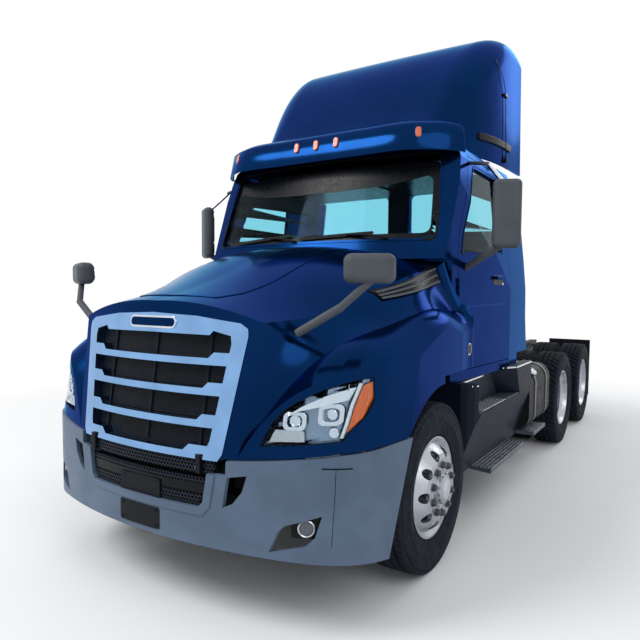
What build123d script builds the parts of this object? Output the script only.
from build123d import *
import math
import os

os.makedirs("parts", exist_ok=True)

# A day-cab highway tractor with three axles (6x4). All sizes are in millimetres.
# While the pieces are drawn, y = 0 is the steer axle, the nose points to -Y, the driver's side is +X
# and z = 0 is the ground. save() then centres the vehicle's length on the origin.

# ---------------------------------------------------------------- driving dimensions
NOSE_Y = -1210            # foremost point of the bumper and grille, on the centre line
TAIL_Y = 5720             # rear end of the frame rails
GRILLE_PROUD = 6          # grille surround, ahead of the hood's skin
TAIL_LAMP_T = 36
MID_Y = (NOSE_Y - GRILLE_PROUD + TAIL_Y + TAIL_LAMP_T) / 2

TYRE_R = 505              # tyre radius, 295/75R22.5
TYRE_W = 285              # tyre section width
RIM_R = 288               # bead seat radius
FLANGE_R = 300            # rim flange radius
RIM_HALF = 117            # half the width over the rim flanges
BEAD = 103                # half the width between the flanges, where the tyre's beads sit
DISC_FACE = 168           # wheel's middle plane to the outer face of its disc
DISC_T = 22               # disc thickness
STEER_X = 1035            # middle plane of a steer tyre
DUAL_OUT_X = 1077         # middle plane of an outer drive tyre
DUAL_IN_X = DUAL_OUT_X - 2 * DISC_FACE
DRIVE_Y = (3630, 4950)    # the two drive axles
KINGPIN_X = 935           # kingpin axis
KINGPIN_R = 22
SPINDLE_R = 38            # steer spindle
DRIVE_SPINDLE_R = 48
RUN_FIT = 0.05            # radial clearance of a shaft in its bore
TIE_ARM = 180             # kingpin to tie rod joint
TIE_Z = 370               # height of the tie rod

RAIL_TOP = 980            # top of the frame rails
RAIL_H = 270
RAIL_X = 431              # outer face of a rail's web
RAIL_FLANGE = 88
RAIL_T = 9
RAIL_FRONT_Y = -860

NOSE_R = 2700             # plan radius of the nose across the grille
NOSE_ARC_X = 850          # where the corner radius takes over
CORNER_R = 470            # plan radius of the nose corners
CORNER_END = 80           # heading at the end of the corner, degrees from the X axis
NOSE_SIDE_Y = -450        # where the sides of the nose become parallel
NOSE_REAR_Y = 1200
NOSE_LEAN = 8.8           # degrees by which the grille leans back
LEAN_FROM = 800           # height of the grille's foot
SEAM_Z = 845              # hood to bumper seam on the centre line
SKIN = 25                 # wall of the moulded hood and bumper
GAP = 8                   # gap between panels
ARCH_R = 625              # wheel arch radius
ARCH_CENTRE_Z = 505
BUMPER_BOTTOM = 410
BUMPER_END = ((-416, 1000), (-709, 100))   # rear edge of the bumper, ahead of the wheel: y, z
BUMPER_T = 22

HOOD_REAR_Y = 500
HINGE_Y = -1168           # hood hinge axis
HINGE_Z = 790
FIREWALL_Y = 520
WS_BASE_Y = 300           # windshield's foot on the centre line
WS_BASE_Z = 2020
WS_R = 3280               # plan radius of the windshield
WS_LEAN = 20              # degrees from upright
CAB_BACK_Y = 1900
CAB_FLOOR = 1045
CAB_ROOF = 2720
CAB_WALL = 55
CAB_HALF = 1125           # half width at the rear of the doors
DOOR_FRONT_Y = 625
DOOR_REAR_Y = 1650
DOOR_BOTTOM = 1120
DOOR_TOP = 2625
DOOR_GAP = 6
DOOR_HINGE = (1056, 622)  # x and y of the left door's hinge axis, in the gap ahead of the door
DOOR_HINGE_Z = (1260, 1700)
DOOR_HINGE_R = 9
DOOR_PIN_R = 5
SILL_Z = 1940
WINDOW_TOP = 2560
GLASS_T = 6
GLASS_IN = 22             # glass set in from the outer skin

FIFTH_Y = 4240            # kingpin seat of the fifth wheel
FIFTH_TOP = 1200
FIFTH_PIVOT_Z = 1100
KINGPIN_SEAT_R = 25.5     # the jaw, for a 2 inch trailer kingpin


def save(piece, name):
    """Label a finished piece, centre it on the vehicle's length and write its STEP file."""
    piece.part.label = name
    placed = piece.part.moved(Location((0, -MID_Y, 0)))
    placed.label = name
    export_step(placed, f"parts/{name}.step")


def upright(y):
    """A plane across the vehicle at y: local x is X and local y is Z."""
    return Plane.XZ.offset(-y)


def lengthwise(x):
    """A plane along the vehicle at x: local x is Y and local y is Z."""
    return Plane.YZ.offset(x)


def prism(plane, points, depth, corner):
    """An outline on a plane, with its corners rounded if corner isn't 0, extruded by depth."""
    with BuildPart() as solid:
        with BuildSketch(plane) as outline:
            with BuildLine():
                Polyline(*points, close=True)
            make_face()
            if corner:
                fillet(outline.vertices(), corner)
        extrude(amount=depth)
    return solid.part


def side_prism(points, x_from, x_to, corner=0):
    """A side-view outline (y, z) extruded across the vehicle."""
    return prism(lengthwise(x_from), points, x_to - x_from, corner)


def front_prism(points, y_from, y_to, corner=0):
    """A front-view outline (x, z) extruded along the vehicle."""
    return prism(upright(y_to), points, y_to - y_from, corner)


def block(x, y, z):
    """A box from its lowest and highest x, y and z."""
    size = [high - low for low, high in (x, y, z)]
    with BuildPart() as box:
        with Locations(((x[0] + x[1]) / 2, (y[0] + y[1]) / 2, (z[0] + z[1]) / 2)):
            Box(*size)
    return box.part


def bar(start, end, radius):
    """A round bar between two points."""
    with BuildPart() as rod:
        with BuildSketch(Plane(origin=start, z_dir=Vector(*end) - Vector(*start))):
            Circle(radius)
        extrude(amount=(Vector(*end) - Vector(*start)).length)
    return rod.part


# ---------------------------------------------------------------- wheels and tyres
def tyre_ring():
    """One tyre about the X axis, centred on its middle plane."""
    with BuildPart() as ring:
        with BuildSketch(Plane.XZ):
            with BuildLine():
                Polyline((0, RIM_R), (BEAD, RIM_R), (BEAD, FLANGE_R + 1), (RIM_HALF + 2, FLANGE_R + 6))
                ThreePointArc((RIM_HALF + 2, FLANGE_R + 6), (TYRE_W / 2, 400), (128, 484))
                ThreePointArc((128, 484), (123, 498), (108, TYRE_R - 3))
                ThreePointArc((108, TYRE_R - 3), (55, TYRE_R - 1), (0, TYRE_R))
                mirror(about=Plane.YZ)
            make_face()
        revolve(axis=Axis.X)
    return ring.part


# outline of an aluminium disc wheel: distance outward from its middle plane, radius
WHEEL_OUTLINE = (
    (RIM_HALF, FLANGE_R), (BEAD, FLANGE_R), (BEAD, RIM_R), (70, RIM_R), (50, 262), (-48, 262), (-70, RIM_R),
    (-BEAD, RIM_R), (-BEAD, FLANGE_R), (-RIM_HALF, FLANGE_R), (-RIM_HALF, 289), (-76, 275), (-52, 249),
    (52, 249), (98, 234), (138, 204), (DISC_FACE - DISC_T, 178), (DISC_FACE - DISC_T, 110),
    (DISC_FACE, 110), (DISC_FACE, 182), (160, 212), (120, 246), (101, 262), (RIM_HALF, 289),
)
HAND_HOLES = 10
HAND_HOLE_R = 30
HAND_HOLE_CIRCLE = 214


def disc_wheel():
    """One ten-hole disc wheel about the X axis, its disc bulging towards +X."""
    with BuildPart() as wheel:
        with BuildSketch(Plane.XZ):
            with BuildLine():
                Polyline(*WHEEL_OUTLINE, close=True)
            make_face()
        revolve(axis=Axis.X)
        with BuildSketch(Plane.YZ.offset(60)):
            with PolarLocations(HAND_HOLE_CIRCLE, HAND_HOLES):
                Circle(HAND_HOLE_R)
        extrude(amount=DISC_FACE, mode=Mode.SUBTRACT)
    return wheel.part


def turned(outline):
    """A solid turned about the X axis from (x, radius) corners."""
    with BuildPart() as solid:
        with BuildSketch(Plane.XZ):
            with BuildLine():
                Polyline(*outline, close=True)
            make_face()
        revolve(axis=Axis.X)
    return solid.part


TYRE = tyre_ring()
WHEEL = disc_wheel()
# brake drum, hub barrel and oil cap of a steer wheel, from its middle plane
STEER_HUB = turned(((-60, 190), (-60, 207), (58, 207), (58, 96), (150, 92), (150, 112), (172, 112), (172, 88),
                    (190, 84), (198, 60), (198, 0), (150, 0), (150, SPINDLE_R + RUN_FIT),
                    (-30, SPINDLE_R + RUN_FIT), (-30, 80), (40, 88), (40, 190)))
# brake drum, hub barrel and axle shaft flange of a pair of drive wheels, from the joint of the two discs
DRIVE_HUB = turned(((-255, 190), (-255, 207), (-60, 207), (-60, 112), (26, 112), (26, 96), (120, 88),
                    (120, 104), (140, 104), (150, 70), (176, 62), (176, 0), (110, 0),
                    (110, DRIVE_SPINDLE_R + RUN_FIT), (-215, DRIVE_SPINDLE_R + RUN_FIT), (-215, 82),
                    (-80, 90), (-80, 190)))

for side, s in (("left", 1), ("right", -1)):
    facing = Rotation(0, 0, 0) if s > 0 else Rotation(0, 0, 180)
    with BuildPart() as steer_tyre:
        with Locations((s * STEER_X, 0, TYRE_R)):
            add(TYRE)
    save(steer_tyre, f"{side}_steer_tyre")

    with BuildPart() as steer_wheel:
        with Locations(Location((s * STEER_X, 0, TYRE_R)) * facing):
            add(WHEEL)
            add(STEER_HUB)
    save(steer_wheel, f"{side}_steer_wheel")

    for axle, y in zip(("front", "rear"), DRIVE_Y):
        with BuildPart() as dual_tyres:
            with Locations((s * DUAL_IN_X, y, TYRE_R), (s * DUAL_OUT_X, y, TYRE_R)):
                add(TYRE)
        save(dual_tyres, f"{side}_{axle}_drive_tyres")

        with BuildPart() as dual_wheels:
            with Locations(Location((s * DUAL_IN_X, y, TYRE_R)) * facing):
                add(WHEEL)
            with Locations(Location((s * DUAL_OUT_X, y, TYRE_R)) * facing * Rotation(0, 0, 180)):
                add(WHEEL)
            with Locations(Location((s * (DUAL_IN_X + DISC_FACE), y, TYRE_R)) * facing):
                add(DRIVE_HUB)
        save(dual_wheels, f"{side}_{axle}_drive_wheels")

# ---------------------------------------------------------------- frame
CROSSMEMBERS = (-700, 2100, 2900, 4290, 5560)     # y of each crossmember
RAIL_BOTTOM = RAIL_TOP - RAIL_H
for side, s in (("left", 1), ("right", -1)):
    with BuildPart() as rail:
        with BuildSketch(upright(TAIL_Y)):
            with BuildLine():
                inner = RAIL_X - RAIL_FLANGE
                web = RAIL_X - RAIL_T
                Polyline((s * inner, RAIL_TOP), (s * RAIL_X, RAIL_TOP), (s * RAIL_X, RAIL_BOTTOM),
                         (s * inner, RAIL_BOTTOM), (s * inner, RAIL_BOTTOM + RAIL_T),
                         (s * web, RAIL_BOTTOM + RAIL_T), (s * web, RAIL_TOP - RAIL_T),
                         (s * inner, RAIL_TOP - RAIL_T), close=True)
            make_face()
        extrude(amount=TAIL_Y - RAIL_FRONT_Y)
    save(rail, f"{side}_frame_rail")

with BuildPart() as crossmembers:
    for y in CROSSMEMBERS:
        with BuildSketch(lengthwise(-(RAIL_X - RAIL_T))):
            with BuildLine():
                low, high, half, t = RAIL_BOTTOM + 45, RAIL_TOP - 45, 50, 10
                Polyline((y - half, low), (y + half, low), (y + half, low + t), (y + t / 2, low + t),
                         (y + t / 2, high - t), (y + half, high - t), (y + half, high), (y - half, high),
                         (y - half, high - t), (y - t / 2, high - t), (y - t / 2, low + t),
                         (y - half, low + t), close=True)
            make_face()
        extrude(amount=2 * (RAIL_X - RAIL_T))
    closing = RAIL_X - RAIL_FLANGE
    add(block((-closing, closing), (TAIL_Y - 12, TAIL_Y), (760, 920)))
save(crossmembers, "frame_crossmembers")

# ---------------------------------------------------------------- steer axle, springs and steering
BEAM_TOP = 430            # spring seats
BEAM_T = 110
SPRING_X = 395
with BuildPart() as beam:
    end = KINGPIN_X - 25
    with BuildSketch(upright(45)):
        with BuildLine():
            Polyline((-end, TYRE_R + 45), (-end, TYRE_R - 45), (80 - end, TYRE_R - 45),
                     (-620, BEAM_TOP - BEAM_T), (620, BEAM_TOP - BEAM_T), (end - 80, TYRE_R - 45),
                     (end, TYRE_R - 45), (end, TYRE_R + 45), (700, TYRE_R + 20), (560, BEAM_TOP),
                     (-560, BEAM_TOP), (-700, TYRE_R + 20), close=True)
        make_face()
    extrude(amount=90)
    for s in (1, -1):
        near, far = KINGPIN_X - 70, KINGPIN_X + 60
        add(block(sorted((s * near, s * far)), (-60, 60), (TYRE_R - 60, TYRE_R + 60)), mode=Mode.SUBTRACT)
        add(block(sorted((s * (near - 20), s * KINGPIN_X)), (-32, 32), (TYRE_R - 45, TYRE_R + 45)))
    for s in (1, -1):
        with Locations((s * KINGPIN_X, 0, TYRE_R)):
            Cylinder(KINGPIN_R + 12, 90)
    for s in (1, -1):
        with Locations((s * KINGPIN_X, 0, TYRE_R)):
            Cylinder(KINGPIN_R + RUN_FIT, 90, mode=Mode.SUBTRACT)
save(beam, "steer_axle_beam")

SPRING_HALF = 720         # half the length of a leaf spring
SPRING_EYE_Z = 640
with BuildPart() as springs:
    for s in (1, -1):
        with BuildSketch(lengthwise(s * SPRING_X - 38)):
            with BuildLine():
                Polyline((-60, BEAM_TOP), (60, BEAM_TOP), (SPRING_HALF - 80, 560), (SPRING_HALF, SPRING_EYE_Z),
                         (SPRING_HALF, RAIL_BOTTOM), (SPRING_HALF - 60, RAIL_BOTTOM), (SPRING_HALF - 90, 600),
                         (80, BEAM_TOP + 58), (-80, BEAM_TOP + 58), (90 - SPRING_HALF, 600),
                         (60 - SPRING_HALF, RAIL_BOTTOM), (-SPRING_HALF, RAIL_BOTTOM),
                         (-SPRING_HALF, SPRING_EYE_Z), (80 - SPRING_HALF, 560), close=True)
            make_face()
        extrude(amount=76)
save(springs, "steer_springs")

FORK = 80                 # height of each kingpin boss above or below the axle
FORK_T = 50
PLATE_X = (40, 63)        # knuckle plate, outward from the kingpin
TIE_PIN_R = 9
TIE_END_R = 24
for side, s in (("left", 1), ("right", -1)):
    with BuildPart() as knuckle:
        for z in (TYRE_R + FORK, TYRE_R - FORK):
            with Locations((s * KINGPIN_X, 0, z)):
                Cylinder(46, FORK_T)
            add(block(sorted((s * KINGPIN_X, s * (KINGPIN_X + PLATE_X[1]))), (-46, 46),
                      (z - FORK_T / 2, z + FORK_T / 2)))
        with Locations((s * KINGPIN_X, 0, TYRE_R)):
            Cylinder(KINGPIN_R, 2 * FORK)
        add(block(sorted((s * (KINGPIN_X + PLATE_X[0]), s * (KINGPIN_X + PLATE_X[1]))), (-60, 60),
                  (TYRE_R - FORK - FORK_T / 2, TYRE_R + FORK + FORK_T / 2)))
        add(bar((s * (KINGPIN_X + PLATE_X[0]), 0, TYRE_R), (s * (STEER_X + 140), 0, TYRE_R), SPINDLE_R))
        add(block(sorted((s * (KINGPIN_X - TIE_END_R), s * (KINGPIN_X + TIE_END_R))),
                  (-30, TIE_ARM + TIE_END_R), (TYRE_R - FORK - FORK_T / 2, TYRE_R - FORK)))
        with Locations((s * KINGPIN_X, TIE_ARM, TIE_Z - 12)):
            Cylinder(TIE_PIN_R, TYRE_R - FORK - TIE_Z + 6, align=(Align.CENTER, Align.CENTER, Align.MIN))
    save(knuckle, f"{side}_steering_knuckle")

with BuildPart() as tie_rod:
    add(bar((-KINGPIN_X + 20, TIE_ARM, TIE_Z), (KINGPIN_X - 20, TIE_ARM, TIE_Z), 19))
    for s in (1, -1):
        with Locations((s * KINGPIN_X, TIE_ARM, TIE_Z)):
            Cylinder(TIE_END_R, 24)
    for s, clearance in ((1, RUN_FIT), (-1, 7)):
        with Locations((s * KINGPIN_X, TIE_ARM, TIE_Z)):
            Cylinder(TIE_PIN_R + clearance, 60, mode=Mode.SUBTRACT)
save(tie_rod, "tie_rod")

# ---------------------------------------------------------------- drive axles, suspension and shafts
DIFF_R = 225
with BuildPart() as drive_axles:
    for y in DRIVE_Y:
        add(bar((-620, y, TYRE_R), (620, y, TYRE_R), 68))
        add(bar((-1010, y, TYRE_R), (1010, y, TYRE_R), DRIVE_SPINDLE_R))
        with Locations(Location((0, y, TYRE_R), (0, 90, 0))):
            Cylinder(DIFF_R, 200)
        add(bar((0, y, TYRE_R + 20), (0, y - 330, TYRE_R + 60), 120))
        for s in (1, -1):
            add(bar((s * 618, y, TYRE_R), (s * 634, y, TYRE_R), 198))
save(drive_axles, "drive_axles")

AIR_SPRING_X = 455
AIR_SPRING_Y = 430        # behind its axle
ARM_Z = 395
with BuildPart() as suspension_arms:
    for y in DRIVE_Y:
        for s in (1, -1):
            low, high = sorted((s * (AIR_SPRING_X - 45), s * (AIR_SPRING_X + 45)))
            outline = ((y - 560, 560), (y - 470, 560), (y - 120, ARM_Z + 42),
                       (y + AIR_SPRING_Y + 110, ARM_Z + 42), (y + AIR_SPRING_Y + 110, ARM_Z),
                       (y - 130, ARM_Z - 10), (y - 560, 500))
            add(side_prism(outline, low, high))
            low, high = sorted((s * (RAIL_X + 1), s * (RAIL_X + 14)))
            add(block((low, high), (y - 580, y - 450), (500, RAIL_TOP - 60)))
save(suspension_arms, "suspension_arms")

with BuildPart() as air_springs:
    for y in DRIVE_Y:
        for s in (1, -1):
            for z, r in ((ARM_Z + 42, 100), (ARM_Z + 92, 118), (ARM_Z + 172, 118)):
                with Locations((s * AIR_SPRING_X, y + AIR_SPRING_Y, z)):
                    Cylinder(r, 90, align=(Align.CENTER, Align.CENTER, Align.MIN))
save(air_springs, "air_springs")

with BuildPart() as shafts:
    add(bar((0, 2008, 700), (0, DRIVE_Y[0] - 342, TYRE_R + 62), 50))
    add(bar((0, DRIVE_Y[0] + 232, TYRE_R + 10), (0, DRIVE_Y[1] - 342, TYRE_R + 62), 45))
save(shafts, "drive_shafts")

# ---------------------------------------------------------------- engine, gearbox and radiator
with BuildPart() as engine:
    for width, height, x, z in ((620, 460, 0, 780), (720, 600, -30, 1290)):
        with BuildSketch(upright(455)):
            with Locations((x, z)):
                RectangleRounded(width, height, 50)
        extrude(amount=1015)
save(engine, "engine_block")

with BuildPart() as gearbox:
    with BuildSketch(upright(470)):
        with Locations((0, 740)):
            Circle(230)
    with BuildSketch(upright(900)):
        with Locations((0, 740)):
            RectangleRounded(380, 400, 80)
    with BuildSketch(upright(2000)):
        with Locations((0, 700)):
            RectangleRounded(220, 220, 80)
    loft(ruled=True)
save(gearbox, "gearbox")

with BuildPart() as radiator:
    add(block((-430, 430), (-870, -770), (RAIL_TOP + 5, 1420)))
    add(block((-330, 330), (-870, -770), (640, RAIL_TOP + 5)))
save(radiator, "radiator")


# ---------------------------------------------------------------- nose outline shared by hood and bumper
def nose_plan(plane, inset):
    """Plan outline of the nose: a long arc, two tighter corners and sides that run back to NOSE_REAR_Y."""
    swing = math.degrees(math.asin(NOSE_ARC_X / NOSE_R))
    with BuildSketch(plane) as outline:
        with BuildLine():
            front = CenterArc((0, NOSE_Y + NOSE_R), NOSE_R - inset, -90, swing)
            corner = JernArc(front @ 1, front % 1, CORNER_R - inset, CORNER_END - swing)
            reach = NOSE_SIDE_Y - (corner @ 1).Y
            heading = math.radians(CORNER_END)
            side_x = (corner @ 1).X + reach / math.tan(heading)
            Polyline(corner @ 1, (side_x, NOSE_SIDE_Y), (side_x, NOSE_REAR_Y), (0, NOSE_REAR_Y))
            mirror(about=Plane.YZ)
        make_face()
    return outline.sketch


def nose_block(inset, z_from, z_to, lean):
    """The nose outline carried upward, leaning back by lean degrees from the grille's foot."""
    shift = (z_from - LEAN_FROM) * math.tan(math.radians(lean))
    plane = Plane(origin=(0, shift, z_from))
    with BuildPart() as solid:
        add(nose_plan(plane, inset))
        height = z_to - z_from
        slant = Vector(0, math.tan(math.radians(lean)), 1)
        extrude(amount=height * slant.length, dir=slant)
    return solid.part


# hood to bumper seam in side view, from the nose to the wheel arch: y, z
SEAM = ((NOSE_Y - 60, SEAM_Z), (-1150, SEAM_Z + 5), (-1040, 888), (-930, 903), (-400, 915))


def below_seam(offset_z, x_half=1400):
    """Everything under the seam, moved up by offset_z."""
    points = [(y, z + offset_z) for y, z in SEAM]
    return side_prism(points + [(-400, -100), (NOSE_Y - 60, -100)], -x_half, x_half)


# ---------------------------------------------------------------- bumper
BAND_X = 552              # half width of the dark gap under the grille
BAND_Z = 772
OPENING = ((400, 600), (428, 628), (452, BAND_Z))         # right half of the dark centre opening: x, z
RIM_OUTLINE = ((420, 560), (466, 606), (495, BAND_Z))     # and of the raised rim around it
DUCT = ((560, 765), (665, 785), (640, 705), (590, 640), (535, 615), (548, 700))
FOG_POCKET = ((773, 433), (814, 534), (847, 567), (1002, 617), (976, 515), (936, 472))
FOG_LAMP = (930, -1005, 552)
FOG_R = 42
MESH_SET = BUMPER_T       # dark mesh, behind the bumper's face
MESH_T = 12
MESH_TOP = 745
MESH_BAR = (666, 714)     # height of the bar across the mesh
LUG_X = 386               # hood hinge brackets
LUG_T = 12


def both_halves(right):
    """A closed outline from its right half."""
    return [(-x, z) for x, z in reversed(right) if x] + list(right)


with BuildPart() as bumper:
    add(nose_block(0, 280, SEAM_Z + 90, 0))
    add(nose_block(BUMPER_T, 200, SEAM_Z + 150, 0), mode=Mode.SUBTRACT)
    add(side_prism([*BUMPER_END, (1300, 100), (1300, 1000)], -1400, 1400), mode=Mode.SUBTRACT)
    add(below_seam(-GAP), mode=Mode.INTERSECT)
    underside = ((NOSE_Y - 80, BUMPER_BOTTOM + 5), (-1050, BUMPER_BOTTOM - 15), (-500, 300), (-500, 100),
                 (NOSE_Y - 80, 100))
    add(side_prism(underside, -1400, 1400), mode=Mode.SUBTRACT)
    band = OPENING + ((BAND_X, BAND_Z + 4), (BAND_X + 8, 950))
    add(front_prism(both_halves(band), -1400, -900), mode=Mode.SUBTRACT)
    for s in (1, -1):
        add(front_prism([(s * x, z) for x, z in DUCT], -1400, -900), mode=Mode.SUBTRACT)
        add(front_prism([(s * x, z) for x, z in FOG_POCKET], -1400, -700), mode=Mode.SUBTRACT)
    with BuildPart():
        add(nose_block(-GRILLE_PROUD, 500, 800, 0))
        add(nose_block(GRILLE_PROUD, 490, 810, 0), mode=Mode.SUBTRACT)
        add(front_prism(both_halves(RIM_OUTLINE), -1400, -900), mode=Mode.INTERSECT)
        add(front_prism(both_halves(OPENING + ((454, 850),)), -1400, -900), mode=Mode.SUBTRACT)
save(bumper, "front_bumper")

with BuildPart() as bumper_mesh:
    for setback, half, low, high in ((MESH_SET, 520, 545, MESH_TOP), (MESH_SET - MESH_T, 425, *MESH_BAR)):
        with BuildPart():
            add(nose_block(setback, low, high, 0))
            add(nose_block(setback + MESH_T, low - 100, high + 100, 0), mode=Mode.SUBTRACT)
            add(block((-half, half), (-1300, -960), (low, high)), mode=Mode.INTERSECT)
save(bumper_mesh, "bumper_mesh")

with BuildPart() as bumper_bar:
    add(block((-760, 760), (-1040, -950), (520, 640)))
    for s in (1, -1):
        add(block(sorted((s * (RAIL_X - 70), s * RAIL_X)), (-950, RAIL_FRONT_Y), (540, RAIL_TOP - 60)))
        add(block(sorted((s * 700, s * 760)), (-1130, -1040), (540, 600)))
        bracket = ((HINGE_Y - 14, HINGE_Z - 20), (HINGE_Y + 10, HINGE_Z + 22), (HINGE_Y + 100, HINGE_Z + 10),
                   (-960, 640), (-1040, 640), (-1060, MESH_TOP + 8), (HINGE_Y + 20, MESH_TOP + 8))
        add(side_prism(bracket, s * LUG_X - LUG_T / 2, s * LUG_X + LUG_T / 2))
        with BuildSketch(lengthwise(s * LUG_X - LUG_T / 2)):
            with Locations((HINGE_Y, HINGE_Z)):
                Circle(22)
        extrude(amount=LUG_T)
    with Locations(Location((0, HINGE_Y, HINGE_Z), (0, 90, 0))):
        Cylinder(10 + RUN_FIT, 900, mode=Mode.SUBTRACT)
    add(nose_block(BUMPER_T, 300, 1100, 0), mode=Mode.INTERSECT)
save(bumper_bar, "bumper_beam")

with BuildPart() as fog_lamps:
    for s in (1, -1):
        aim = Plane(origin=(s * FOG_LAMP[0], *FOG_LAMP[1:]), z_dir=(s * 0.42, -0.9, 0))
        with BuildSketch(aim):
            Circle(FOG_R)
        extrude(amount=46)
        with BuildSketch(aim.offset(-90)):
            Rectangle(150, 100)
        extrude(amount=92)
    add(nose_block(BUMPER_T + 1, 300, 1000, 0), mode=Mode.INTERSECT)
save(fog_lamps, "fog_lamps")

# ---------------------------------------------------------------- hood
# y, top z, crease x z, fold x z, fender mid x z, side x z
HOOD_SECTIONS = (
    (-1280, 1560, 640, 1470, 640, 800, 760, 930, 880, 1010),
    (-1030, 1620, 672, 1505, 690, 1045, 850, 1160, 985, 1205),
    (-880, 1655, 705, 1515, 830, 1275, 985, 1285, 1105, 1215),
    (-600, 1742, 785, 1555, 965, 1432, 1105, 1380, 1192, 1265),
    (-200, 1895, 925, 1695, 1070, 1525, 1165, 1465, 1218, 1345),
    (150, 1968, 962, 1785, 1100, 1562, 1178, 1505, 1219, 1385),
    (500, 2030, 1000, 1872, 1130, 1600, 1190, 1540, 1220, 1420),
)
HOOD_FLOOR = 700


def hood_body(inset):
    """The hood's outer form, or the space inside it, lofted through sections across the vehicle."""
    with BuildPart() as body:
        for y, zt, xc, zc, xf, zf, xm, zm, xs, zs in HOOD_SECTIONS:
            with BuildSketch(upright(y)):
                with BuildLine():
                    crease = (xc - 0.6 * inset, zc - inset)
                    fold = (xf - 0.6 * inset, zf - 0.9 * inset)
                    mid = (xm - 0.5 * inset, zm - 0.9 * inset)
                    side = (xs - inset, zs - 0.4 * inset)
                    crown = (0.55 * crease[0], zt - inset - 0.24 * (zt - zc))
                    hollow = ((crease[0] + fold[0]) / 2 - 12, (crease[1] + fold[1]) / 2 - 8)
                    ThreePointArc((0, zt - inset), crown, crease)
                    ThreePointArc(crease, hollow, fold)
                    ThreePointArc(fold, mid, side)
                    Polyline(side, (side[0], HOOD_FLOOR), (0, HOOD_FLOOR))
                    mirror(about=Plane.YZ)
                make_face()
        loft()
        add(nose_block(inset, 600, 2200, NOSE_LEAN), mode=Mode.INTERSECT)
    return body.part


def windshield_plan(plane, inset):
    """Everything behind the windshield's curve, at one height."""
    with BuildSketch(plane) as outline:
        with BuildLine():
            angle = math.degrees(math.asin(1400 / WS_R))
            arc = CenterArc((0, WS_BASE_Y + WS_R), WS_R - inset, -90 - angle, 2 * angle)
            Polyline(arc @ 1, ((arc @ 1).X, 2400), ((arc @ 0).X, 2400), arc @ 0)
        make_face()
    return outline.sketch


def behind_windshield(inset, z_from, z_to, lean):
    """The cab side of the windshield's curve, leaning back from the windshield's foot."""
    slant = Vector(0, math.tan(math.radians(lean)), 1)
    shift = (z_from - WS_BASE_Z) * slant.Y
    with BuildPart() as solid:
        add(windshield_plan(Plane(origin=(0, shift, z_from)), inset))
        extrude(amount=(z_to - z_from) * slant.length, dir=slant)
    return solid.part


# front-view outlines (x, z) of the grille surround, outside and inside, and of the left headlamp
SURROUND_OUTER = both_halves(((508, 838), (530, 872), (608, 1440), (603, 1476), (562, 1502), (300, 1534),
                              (0, 1546)))
SURROUND_INNER = both_halves(((300, 872), (335, 904), (444, 904), (455, 930), (522, 1400), (514, 1440),
                              (412, 1462), (392, 1440), (0, 1444)))
LAMP = ((715, 928), (738, 985), (770, 1048), (823, 1107), (885, 1152), (995, 1210), (1087, 1243), (1155, 1256),
        (1150, 1174), (1123, 1063), (1082, 1005), (1062, 960), (913, 946))
HOOD_OUTER = hood_body(0)
with BuildPart() as hood:
    add(HOOD_OUTER)
    add(hood_body(SKIN), mode=Mode.SUBTRACT)
    add(below_seam(0), mode=Mode.SUBTRACT)
    add(block((-1400, 1400), (HOOD_REAR_Y - 5, 1500), (600, 2300)), mode=Mode.SUBTRACT)
    add(block((-1400, 1400), (-1400, 600), (600, 846)), mode=Mode.SUBTRACT)
    add(behind_windshield(-60, 1872, 2200, 0), mode=Mode.SUBTRACT)
    for s in (1, -1):
        with Locations(Location((s * 1000, 0, ARCH_CENTRE_Z), (0, 90, 0))):
            Cylinder(ARCH_R, 700, mode=Mode.SUBTRACT)
        add(block(sorted((s * 650, s * 1350)), (0, 610), (700, 1175)), mode=Mode.SUBTRACT)
    add(front_prism(SURROUND_OUTER, -1400, -960), mode=Mode.SUBTRACT)
    for s in (1, -1):
        add(front_prism([(s * x, z) for x, z in LAMP], -1300, -740), mode=Mode.SUBTRACT)
save(hood, "hood")

# ---------------------------------------------------------------- grille on the hood
BAR_ROWS = (1293, 1146, 991)          # lower edge of each chrome bar above the lowest one
BAR_H = 34                # height of a bar's thin middle
BAR_RISE = 29             # by which its ends are taller
BAR_END = 125             # length of a raised end
GRILLE_T = 56             # depth of the surround and the bars
SCREEN_T = 12


def grille_slab(front, depth, z_from=780, z_to=1600):
    """A curved, leaning slab behind the nose outline: front is how far its face stands back."""
    with BuildPart() as slab:
        add(nose_block(front, z_from, z_to, NOSE_LEAN))
        add(nose_block(front + depth, z_from - 5, z_to + 5, NOSE_LEAN), mode=Mode.SUBTRACT)
    return slab.part


with BuildPart() as grille_frame:
    with BuildSketch(upright(-900)):
        with BuildLine():
            Polyline(*SURROUND_OUTER, close=True)
        make_face()
        with BuildLine():
            Polyline(*SURROUND_INNER, close=True)
        make_face(mode=Mode.SUBTRACT)
        for z in BAR_ROWS:
            half = 480 + (z - 900) * 0.107
            top = z + BAR_H
            bar_outline = ((half, z), (half, top + BAR_RISE), (half - BAR_END + 30, top + BAR_RISE),
                           (half - BAR_END, top))
            with BuildLine():
                Polyline(*both_halves(bar_outline), close=True)
            make_face()
    extrude(amount=500)
    add(grille_slab(-GRILLE_PROUD, GRILLE_T), mode=Mode.INTERSECT)
    for s in (1, -1):
        with BuildSketch(lengthwise(s * (LUG_X + 18) - 6)):
            with Locations((HINGE_Y, HINGE_Z)):
                Circle(18)
            with Locations((HINGE_Y, HINGE_Z + 35)):
                Rectangle(36, 70)
        extrude(amount=12)
        with Locations(Location((s * (LUG_X + 6), HINGE_Y, HINGE_Z), (0, 90, 0))):
            Cylinder(10, 36)
save(grille_frame, "grille_frame")

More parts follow.
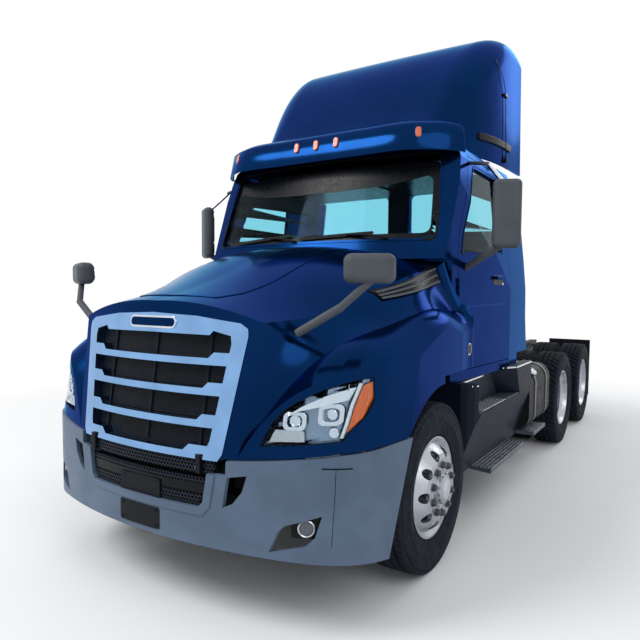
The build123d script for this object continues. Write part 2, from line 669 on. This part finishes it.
with BuildPart() as grille_screen:
    add(grille_slab(GRILLE_T - GRILLE_PROUD, SCREEN_T, 820, 1500))
    screen = both_halves(((470, 850), (540, 1400), (530, 1470)))
    add(front_prism(screen, -1400, -900), mode=Mode.INTERSECT)
save(grille_screen, "grille_screen")

# ---------------------------------------------------------------- headlamps
with BuildPart() as headlamps:
    add(hood_body(2))
    add(hood_body(SKIN + 25), mode=Mode.SUBTRACT)
    with BuildPart(mode=Mode.INTERSECT) as lamp_zone:
        for s in (1, -1):
            add(front_prism([(s * x, z) for x, z in LAMP], -1300, -740))
save(headlamps, "headlamps")

# ---------------------------------------------------------------- hood mirrors and vents
with BuildPart() as hood_mirrors:
    for s in (1, -1):
        foot, elbow, neck = (s * 785, -890, 1455), (s * 1005, -850, 1583), (s * 1120, -755, 1715)
        add(bar(foot, elbow, 21))
        add(bar(elbow, neck, 19))
        with Locations(elbow):
            Sphere(21)
        with BuildPart(mode=Mode.PRIVATE) as head:
            with BuildSketch(Plane.XY.offset(1700)):
                RectangleRounded(250, 110, 50)
            extrude(amount=144)
            fillet(head.faces().sort_by(Axis.Z)[-1].edges(), 38)
            fillet(head.faces().sort_by(Axis.Z)[0].edges(), 38)
        add(head.part.moved(Location((s * 1108, -750, 0), (0, 0, s * 25))))
    add(HOOD_OUTER, mode=Mode.SUBTRACT)
save(hood_mirrors, "hood_mirrors")

VENT_PROUD = (6, 3)       # vent panels, outward and upward from the hood's skin
VENT = ((-316, 1668), (408, 1836), (416, 1724), (-281, 1622))
with BuildPart() as hood_vents:
    for s in (1, -1):
        with BuildPart(mode=Mode.PRIVATE) as vent:
            add(side_prism(VENT, *sorted((s * 850, s * 1250))))
            add(HOOD_OUTER.moved(Location((s * VENT_PROUD[0], 0, VENT_PROUD[1]))), mode=Mode.INTERSECT)
            add(HOOD_OUTER, mode=Mode.SUBTRACT)
        add(vent.part)
save(hood_vents, "hood_vents")

# ---------------------------------------------------------------- cab
# half width of the cab in front view: x, z from the floor to the edge of the roof
CAB_SIDE = ((CAB_HALF, CAB_FLOOR), (CAB_HALF, 1700), (CAB_HALF - 22, SILL_Z), (CAB_HALF - 95, 2600),
            (CAB_HALF - 125, 2680), (CAB_HALF - 200, CAB_ROOF - 8), (0, CAB_ROOF + 22))


def cab_body(inset):
    """The cab's outer form, or its interior, as the overlap of its side, front and plan outlines."""
    with BuildPart() as body:
        with BuildSketch(upright(CAB_BACK_Y - inset)):
            with BuildLine():
                right = [(x - (inset if x else 0), z + (inset if z == CAB_FLOOR else 0) -
                          (inset if z > 2650 else 0)) for x, z in CAB_SIDE]
                Polyline((0, CAB_FLOOR + inset), *right, close=True)
            make_face()
            mirror(about=Plane.YZ)
        extrude(amount=CAB_BACK_Y - 200)
        # the cab narrows towards the windshield in plan
        with BuildSketch(Plane.XY.offset(900)):
            with BuildLine():
                half = CAB_HALF - inset
                rear = CAB_BACK_Y - inset
                Polyline((0, 200), (CAB_HALF - 125 - inset, 200), (CAB_HALF - 85 - inset, 500),
                         (half, DOOR_REAR_Y), (half, rear + 5), (0, rear + 5), close=True)
            make_face()
            mirror(about=Plane.YZ)
        extrude(amount=2000, mode=Mode.INTERSECT)
        with BuildPart(mode=Mode.INTERSECT):
            add(behind_windshield(inset, 1885 + inset, 2900, WS_LEAN))
            add(block((-1300, 1300), (FIREWALL_Y + inset, 2400), (900, 1885 + inset + 1)))
    return body.part


# outline of a door and of its window in side view: y, z
DOOR = ((DOOR_FRONT_Y, DOOR_BOTTOM), (DOOR_REAR_Y, DOOR_BOTTOM), (DOOR_REAR_Y, DOOR_TOP - 40),
        (DOOR_REAR_Y - 40, DOOR_TOP), (835, DOOR_TOP), (DOOR_FRONT_Y, 2060))
WINDOW = ((682, SILL_Z), (1460, SILL_Z + 45), (1460, WINDOW_TOP), (930, WINDOW_TOP), (700, 2060))
WINDSHIELD = ((-948, 2025), (948, 2025), (902, 2620), (-902, 2620))
REAR_WINDOWS = tuple(tuple((s * x, z) for x, z in ((110, 2200), (935, 2200), (905, 2575), (110, 2575)))
                     for s in (1, -1))
PANE_CORNER = 45          # corner radius of the fixed panes


def grown(points, distance):
    """An outline of straight edges moved outward by distance, with square corners."""
    with BuildSketch() as outline:
        with BuildLine():
            Polyline(*points, close=True)
        make_face()
        offset(amount=distance, kind=Kind.INTERSECTION)
    return outline.sketch


def side_cutter(points, distance, x_from, x_to):
    """A side-view outline grown by distance and carried across the vehicle."""
    with BuildPart() as cutter:
        with BuildSketch(lengthwise(x_from)):
            add(grown(points, distance))
        extrude(amount=x_to - x_from)
    return cutter.part


KNUCKLE_MID = 25          # half the height of the gap for a door hinge's middle knuckle
KNUCKLE_END = 60
CAB_OUTER = cab_body(0)
CAB_INNER = cab_body(CAB_WALL)
GLASS_OUTER = cab_body(GLASS_IN)
GLASS_INNER = cab_body(GLASS_IN + GLASS_T)
with BuildPart() as shell:
    add(CAB_OUTER)
    add(CAB_INNER, mode=Mode.SUBTRACT)
with BuildPart() as pane:
    add(GLASS_OUTER)
    add(GLASS_INNER, mode=Mode.SUBTRACT)

with BuildPart() as cab_shell:
    add(shell.part)
    for x_from, x_to in ((700, 1400), (-1400, -700)):
        add(side_cutter(DOOR, DOOR_GAP, x_from, x_to), mode=Mode.SUBTRACT)
    add(front_prism(WINDSHIELD, 0, 900, PANE_CORNER), mode=Mode.SUBTRACT)
    for window in REAR_WINDOWS:
        add(front_prism(window, 1800, 2100, PANE_CORNER), mode=Mode.SUBTRACT)
    for x in (-395, 395):
        for y in (640, 1820):
            add(block((x - 40, x + 40), (y - 60, y + 60), (RAIL_TOP, CAB_FLOOR)))
    # fixed halves of the door hinges, each with its pin
    for s in (1, -1):
        x, y = s * DOOR_HINGE[0], DOOR_HINGE[1]
        for z in DOOR_HINGE_Z:
            clear = bar((x, y, z - KNUCKLE_MID), (x, y, z + KNUCKLE_MID), DOOR_HINGE_R + DOOR_GAP)
            add(clear, mode=Mode.SUBTRACT)
            for low, high in ((z - KNUCKLE_END, z - KNUCKLE_MID), (z + KNUCKLE_MID, z + KNUCKLE_END)):
                add(block(sorted((x, x - s * 24)), (y - 26, y), (low, high)))
                add(bar((x, y, low), (x, y, high), DOOR_HINGE_R))
            add(bar((x, y, z - KNUCKLE_END), (x, y, z + KNUCKLE_END), DOOR_PIN_R))
save(cab_shell, "cab_shell")

with BuildPart() as cab_glass:
    add(pane.part)
    with BuildPart(mode=Mode.INTERSECT):
        add(front_prism(WINDSHIELD, 0, 900, PANE_CORNER))
        for window in REAR_WINDOWS:
            add(front_prism(window, 1800, 2100, PANE_CORNER))
save(cab_glass, "cab_glass")

# distance of each door mirror's middle from the centre line, and the degrees it is turned towards the driver
MIRRORS = {"left": (1350, 24), "right": (1353.9, -34)}
MIRROR_Y = 690
MIRROR_Z = (1960, 2412)
for side, s in (("left", 1), ("right", -1)):
    x_from, x_to = sorted((s * 700, s * 1400))
    with BuildPart() as door:
        add(shell.part)
        add(side_cutter(DOOR, 0, x_from, x_to), mode=Mode.INTERSECT)
        add(side_prism(WINDOW, x_from, x_to, 25), mode=Mode.SUBTRACT)
        x, y = s * DOOR_HINGE[0], DOOR_HINGE[1]
        for z in DOOR_HINGE_Z:
            reach = KNUCKLE_END + DOOR_GAP
            clear = bar((x, y, z - reach), (x, y, z + reach), DOOR_HINGE_R + DOOR_GAP)
            add(clear, mode=Mode.SUBTRACT)
            low, high = z - KNUCKLE_MID + 5, z + KNUCKLE_MID - 5
            add(block(sorted((x, x - s * 22)), (y, y + 30), (low, high)))
            add(bar((x, y, low), (x, y, high), DOOR_HINGE_R))
            add(bar((x, y, low), (x, y, high), DOOR_PIN_R + RUN_FIT), mode=Mode.SUBTRACT)
    save(door, f"{side}_door")
    with BuildPart() as window_glass:
        add(pane.part)
        add(side_prism(WINDOW, x_from, x_to, 25), mode=Mode.INTERSECT)
    save(window_glass, f"{side}_door_glass")
    with BuildPart() as door_mirror:
        with BuildPart(mode=Mode.PRIVATE) as head:
            with BuildSketch(Plane.XY.offset(MIRROR_Z[0])):
                RectangleRounded(186, 88, 40)
            extrude(amount=MIRROR_Z[1] - MIRROR_Z[0])
            fillet(head.faces().sort_by(Axis.Z)[-1].edges(), 34)
            fillet(head.faces().sort_by(Axis.Z)[0].edges(), 34)
        out, turn = MIRRORS[side]
        add(head.part.moved(Location((s * out, MIRROR_Y, 0), (0, 0, turn))))
        add(bar((s * 1040, 760, 1830), (s * 1325, MIRROR_Y, 1985), 24))
        add(bar((s * 1325, MIRROR_Y, 2390), (s * 1180, 790, 2550), 13))
        add(bar((s * 1180, 790, 2550), (s * 990, 880, 2592), 13))
        with Locations((s * 1180, 790, 2550)):
            Sphere(13)
        add(CAB_OUTER, mode=Mode.SUBTRACT)
    save(door_mirror, f"{side}_door_mirror")

# ---------------------------------------------------------------- roof fairing, visor and side panels
FAIRING_SECTIONS = (     # y, half width, height of the top, corner radius
    (700, 770, 2790, 50), (1000, 880, 3120, 150), (1300, 995, 3505, 250), (1600, 1045, 3745, 230),
    (2085, 1065, 3764, 140))
FAIRING_WALL = 16
FAIRING_FOOT = 2700
FAIRING_SEAM = ((1790, 2700), (1925, 3980))  # rear edge of the fairing, where its trailing strip begins: y, z


def fairing_body(inset):
    """The roof fairing's outer form, or the space inside it."""
    with BuildPart() as body:
        for y, half, top, corner in FAIRING_SECTIONS:
            with BuildSketch(upright(y)):
                with BuildLine():
                    x, z, r = half - inset, top - inset, corner - inset * 0.6
                    turn = r * (1 - math.sqrt(0.5))
                    Line((0, FAIRING_FOOT), (x, FAIRING_FOOT))
                    Line((x, FAIRING_FOOT), (x - 12, z - r - 12))
                    ThreePointArc((x - 12, z - r - 12), (x - 12 - turn, z - turn - 10), (x - r - 12, z - 8))
                    ThreePointArc((x - r - 12, z - 8), ((x - r) / 2, z - 2), (0, z))
                    mirror(about=Plane.YZ)
                make_face()
        loft()
    return body.part


FAIRING_OUTER = fairing_body(0)
BEHIND_SEAM = side_prism([*FAIRING_SEAM, (2200, 3980), (2200, 2700)], -1200, 1200)
with BuildPart() as fairing_wall:
    add(FAIRING_OUTER)
    add(fairing_body(FAIRING_WALL), mode=Mode.SUBTRACT)
    add(CAB_OUTER, mode=Mode.SUBTRACT)

with BuildPart() as roof_fairing:
    add(fairing_wall.part)
    add(BEHIND_SEAM, mode=Mode.SUBTRACT)
save(roof_fairing, "roof_fairing")

# sun visor: at each height, the right half of its front edge in plan, from the middle outward
VISOR = ((2622, ((690, 410), (860, 490), (985, 590), (1050, 680))),
         (2800, ((680, 450), (860, 528), (975, 620), (1030, 700))),
         (2868, ((640, 620), (800, 668), (900, 730), (950, 800))))
VISOR_T = 14
VISOR_END_Y = 705


def visor_body(inset):
    """The visor's outer form, or the space behind it."""
    with BuildPart() as body:
        for z, front in VISOR:
            right = [(x - 0.4 * inset, y + inset) for x, y in front]
            right += [(right[-1][0], 1000 + inset)]
            with BuildSketch(Plane.XY.offset(z - 0.5 * inset)):
                with BuildLine():
                    Polyline(*both_halves(right), close=True)
                make_face()
        loft(ruled=True)
    return body.part


with BuildPart() as sun_visor:
    add(visor_body(0))
    add(visor_body(VISOR_T), mode=Mode.SUBTRACT)
    add(block((-1200, 1200), (VISOR_END_Y, 1200), (2500, 2800)), mode=Mode.SUBTRACT)
    add(block((-1200, 1200), (VISOR_END_Y + 60, 1200), (2500, 2900)), mode=Mode.SUBTRACT)
    add(FAIRING_OUTER, mode=Mode.SUBTRACT)
    add(CAB_OUTER, mode=Mode.SUBTRACT)
save(sun_visor, "sun_visor")

LAMP_Z = 2742
with BuildPart() as marker_lamps:
    lean = (LAMP_Z - VISOR[0][0]) / (VISOR[1][0] - VISOR[0][0])
    swept = math.degrees(math.atan2(80, 170))
    for x, turn in ((-798, -swept), (-174, 0), (0, 0), (174, 0), (798, swept)):
        y = 410 + lean * 40 + max(0, abs(x) - 687) * math.tan(math.radians(swept))
        normal = Vector(0, -178, 40).rotate(Axis.Z, turn)
        across = Vector(1, 0, 0).rotate(Axis.Z, turn)
        with BuildSketch(Plane(origin=(x, y, LAMP_Z), x_dir=across, z_dir=normal).offset(-VISOR_T / 2)):
            SlotOverall(60, 34, rotation=90)
        extrude(amount=VISOR_T / 2 + 12)
    add(sun_visor.part, mode=Mode.SUBTRACT)
save(marker_lamps, "marker_lamps")

EXTENDER_T = 18
EXTENDER_END_Y = 2150
with BuildPart() as side_extenders:
    flank = [(x, z) for x, z in CAB_SIDE if x and z < 2650]
    for s in (1, -1):
        strip = [(s * x, z) for x, z in flank] + [(s * (x - EXTENDER_T), z) for x, z in reversed(flank)]
        add(front_prism(strip, CAB_BACK_Y, EXTENDER_END_Y + 100))
    rear_edge = ((CAB_BACK_Y, 1150), (2245, 1150), (2205, 1260), (2165, 1450), (EXTENDER_END_Y, 1700),
                 (EXTENDER_END_Y, 2640), (CAB_BACK_Y, 2640))
    add(side_prism(rear_edge, -1300, 1300), mode=Mode.INTERSECT)
    with BuildPart():
        add(fairing_wall.part)
        add(BEHIND_SEAM, mode=Mode.INTERSECT)
save(side_extenders, "side_extenders")

# ---------------------------------------------------------------- cab interior
FLOOR = CAB_FLOOR + CAB_WALL
WHEEL_CENTRE = (500, 1000, 1800)
COLUMN_TILT = 38          # column axis from upright, leaning towards the driver
SHAFT_R = 14
column = Vector(0, math.sin(math.radians(COLUMN_TILT)), math.cos(math.radians(COLUMN_TILT)))
with BuildPart() as dashboard:
    outline = ((FIREWALL_Y + CAB_WALL, FLOOR + 400), (750, FLOOR + 430), (775, 1880), (735, 1955), (600, 1975),
               (FIREWALL_Y + CAB_WALL, 1900))
    add(side_prism(outline, -940, 940))
    centre = Vector(*WHEEL_CENTRE)
    add(bar(centre - column * 30, centre - column * 330, 42))
    add(bar(centre - column * 20, centre - column * 90, SHAFT_R + RUN_FIT), mode=Mode.SUBTRACT)
save(dashboard, "dashboard")

with BuildPart() as seats:
    for x in (500, -500):
        for low, high, y_from, y_to in ((FLOOR, 1340, 1180, 1560), (1340, 1470, 1120, 1640)):
            add(block((x - 255, x + 255), (y_from, y_to), (low, high)))
        back = ((1590, 1400), (1710, 1440), (1815, 2150), (1715, 2180))
        add(side_prism(back, x - 240, x + 240))
save(seats, "seats")

with BuildPart() as steering_wheel:
    with BuildSketch(Plane(origin=WHEEL_CENTRE, x_dir=(1, 0, 0), z_dir=(0, -column.Z, column.Y))):
        with Locations((215, 0)):
            Circle(15)
    revolve(axis=Axis(WHEEL_CENTRE, column))
    with BuildSketch(Plane(origin=Vector(*WHEEL_CENTRE) - column * 10, x_dir=(1, 0, 0), z_dir=column)):
        Circle(55)
        with PolarLocations(110, 3, start_angle=-30):
            Rectangle(220, 34)
    extrude(amount=20)
    add(bar(centre, centre - column * 80, SHAFT_R))
save(steering_wheel, "steering_wheel")

# ---------------------------------------------------------------- steps and tanks
STEP_TOP = CAB_FLOOR - 8
STEP_Y = (605, 2120)      # front and rear end of the step fairings
STEP_X = 1203             # outer face at the upper step
STEP_IN_X = 560
UPPER_STEP_Z = 824
LOWER_STEP_Z = 345
TREAD_T = 30
RECESS_X = 1052           # back wall over the upper step
TANK = (880, 690)         # x and z of the middle of a fuel tank
TANK_SIZE = (620, 540)
TANK_Y = (2135, 2950)
TANK_CORNER = 130
STRAP_T = 8
# recess over the upper step in side view, at its back wall and at its open side: y, z
RECESS_BACK = ((700, UPPER_STEP_Z), (1590, UPPER_STEP_Z), (1330, 1100), (700, 1100))
RECESS_OPEN = ((690, UPPER_STEP_Z), (1790, UPPER_STEP_Z), (1700, 1100), (690, 1100))
with BuildPart() as step_fairings:
    for s in (1, -1):
        with BuildPart(mode=Mode.PRIVATE) as pod:
            foot_z = LOWER_STEP_Z + TREAD_T
            section = ((STEP_IN_X, 400), (980, foot_z), (1062, foot_z), (STEP_X, 830), (STEP_X, STEP_TOP),
                       (STEP_IN_X, STEP_TOP))
            add(front_prism([(s * x, z) for x, z in section], *STEP_Y))
            add(block(sorted((s * 1000, s * STEP_X)), (1330, STEP_Y[1]), (STEP_TOP - 50, 1065)))
            plan = ((500, STEP_Y[0]), (1090, STEP_Y[0]), (1135, 620), (1172, 655), (STEP_X, 730),
                    (STEP_X, STEP_Y[1]), (500, STEP_Y[1]))
            with BuildSketch(Plane.XY):
                with BuildLine():
                    Polyline(*[(s * x, y) for x, y in plan], close=True)
                make_face()
            extrude(amount=1200, mode=Mode.INTERSECT)
        with BuildPart(mode=Mode.PRIVATE) as recess:
            for x, outline in ((RECESS_X, RECESS_BACK), (1260, RECESS_OPEN)):
                with BuildSketch(lengthwise(s * x)):
                    with BuildLine():
                        Polyline(*outline, close=True)
                    make_face()
            loft(ruled=True)
        add(pod.part - recess.part)
        # the box behind the upper step stands clear of the cab's side
        beside_cab = sorted((s * 900, s * (CAB_HALF + DOOR_GAP)))
        add(block(beside_cab, (500, 2200), (STEP_TOP, 1200)), mode=Mode.SUBTRACT)
        for y in (800, 1500):
            add(block(sorted((s * RAIL_X, s * STEP_IN_X)), (y - 40, y + 40), (740, 940)))
save(step_fairings, "step_fairings")

with BuildPart() as step_treads:
    for s in (1, -1):
        for z, outline in ((UPPER_STEP_Z, ((1060, 712), (1190, 712), (1196, 1720), (1060, 1580))),
                           (LOWER_STEP_Z, ((1020, 980), (1210, 940), (1210, 1880), (1020, 1900)))):
            thick = 10 if z == UPPER_STEP_Z else TREAD_T
            with BuildSketch(Plane.XY.offset(z)):
                with BuildLine():
                    Polyline(*[(s * x, y) for x, y in outline], close=True)
                make_face()
            extrude(amount=thick)
        strap_z = TANK[1] - TANK_SIZE[1] / 2 - STRAP_T
        add(block(sorted((s * 980, s * 1235)), (2140, 2600), (strap_z - TREAD_T, strap_z)))
save(step_treads, "step_treads")

with BuildPart() as fuel_tanks:
    for s in (1, -1):
        with BuildSketch(upright(TANK_Y[1])):
            with Locations((s * TANK[0], TANK[1])):
                RectangleRounded(*TANK_SIZE, TANK_CORNER)
        extrude(amount=TANK_Y[1] - TANK_Y[0])
        add(bar((s * 1120, 2235, 870), (s * 1172, 2235, 950), 48))
save(fuel_tanks, "fuel_tanks")

with BuildPart() as tank_straps:
    for s in (1, -1):
        for y in (2340, 2780):
            with BuildSketch(upright(y + 25)):
                with Locations((s * TANK[0], TANK[1])):
                    outer = [size + 2 * STRAP_T for size in TANK_SIZE]
                    RectangleRounded(*outer, TANK_CORNER + STRAP_T)
                    RectangleRounded(*TANK_SIZE, TANK_CORNER, mode=Mode.SUBTRACT)
            extrude(amount=50)
            add(block(sorted((s * RAIL_X, s * (TANK[0] - TANK_SIZE[0] / 2))), (y - 25, y + 25), (640, 900)))
save(tank_straps, "tank_straps")

# ---------------------------------------------------------------- fifth wheel
PLATE_T = 38
with BuildPart() as fifth_wheel_base:
    add(block((-470, 470), (FIFTH_Y - 330, FIFTH_Y + 330), (RAIL_TOP, RAIL_TOP + 14)))
    for s in (1, -1):
        for x in (345, 425):
            with BuildSketch(lengthwise(s * x - 9)):
                with BuildLine():
                    Polyline((FIFTH_Y - 120, RAIL_TOP + 14), (FIFTH_Y + 120, RAIL_TOP + 14),
                             (FIFTH_Y + 45, FIFTH_PIVOT_Z + 30), (FIFTH_Y - 45, FIFTH_PIVOT_Z + 30), close=True)
                make_face()
            extrude(amount=18)
    with Locations(Location((0, FIFTH_Y, FIFTH_PIVOT_Z), (0, 90, 0))):
        Cylinder(25 + RUN_FIT, 1000, mode=Mode.SUBTRACT)
save(fifth_wheel_base, "fifth_wheel_base")

with BuildPart() as fifth_wheel_plate:
    with BuildSketch(Plane.XY.offset(FIFTH_TOP - PLATE_T)):
        with BuildLine():
            front, rear = FIFTH_Y - 470, FIFTH_Y + 480
            Polyline((-250, front), (250, front), (455, front + 190), (455, FIFTH_Y + 150), (300, rear),
                     (190, rear), (KINGPIN_SEAT_R, FIFTH_Y + 130), (KINGPIN_SEAT_R, FIFTH_Y),
                     (-KINGPIN_SEAT_R, FIFTH_Y), (-KINGPIN_SEAT_R, FIFTH_Y + 130), (-190, rear),
                     (-300, rear), (-455, FIFTH_Y + 150), (-455, front + 190), close=True)
        make_face()
        with Locations((0, FIFTH_Y)):
            Circle(KINGPIN_SEAT_R, mode=Mode.SUBTRACT)
    extrude(amount=PLATE_T)
    for s in (1, -1):
        lug_z = (FIFTH_PIVOT_Z - 30, FIFTH_TOP - 10)
        add(block(sorted((s * 365, s * 405)), (FIFTH_Y - 60, FIFTH_Y + 60), lug_z))
        with Locations(Location((s * 385, FIFTH_Y, FIFTH_PIVOT_Z), (0, 90, 0))):
            Cylinder(25, 130)
save(fifth_wheel_plate, "fifth_wheel_plate")

# ---------------------------------------------------------------- rear end
with BuildPart() as mud_flaps:
    for s in (1, -1):
        add(block(sorted((s * 640, s * 1185)), (TAIL_Y - 140, TAIL_Y - 132), (250, 1020)))
        add(bar((s * RAIL_X, TAIL_Y - 116, 900), (s * 1180, TAIL_Y - 116, 900), 22))
save(mud_flaps, "mud_flaps")

with BuildPart() as tail_lamps:
    for s in (1, -1):
        for x in (110, 225):
            with BuildSketch(upright(TAIL_Y + TAIL_LAMP_T)):
                with Locations((s * x, 840)):
                    Circle(52)
            extrude(amount=TAIL_LAMP_T)
save(tail_lamps, "tail_lamps")
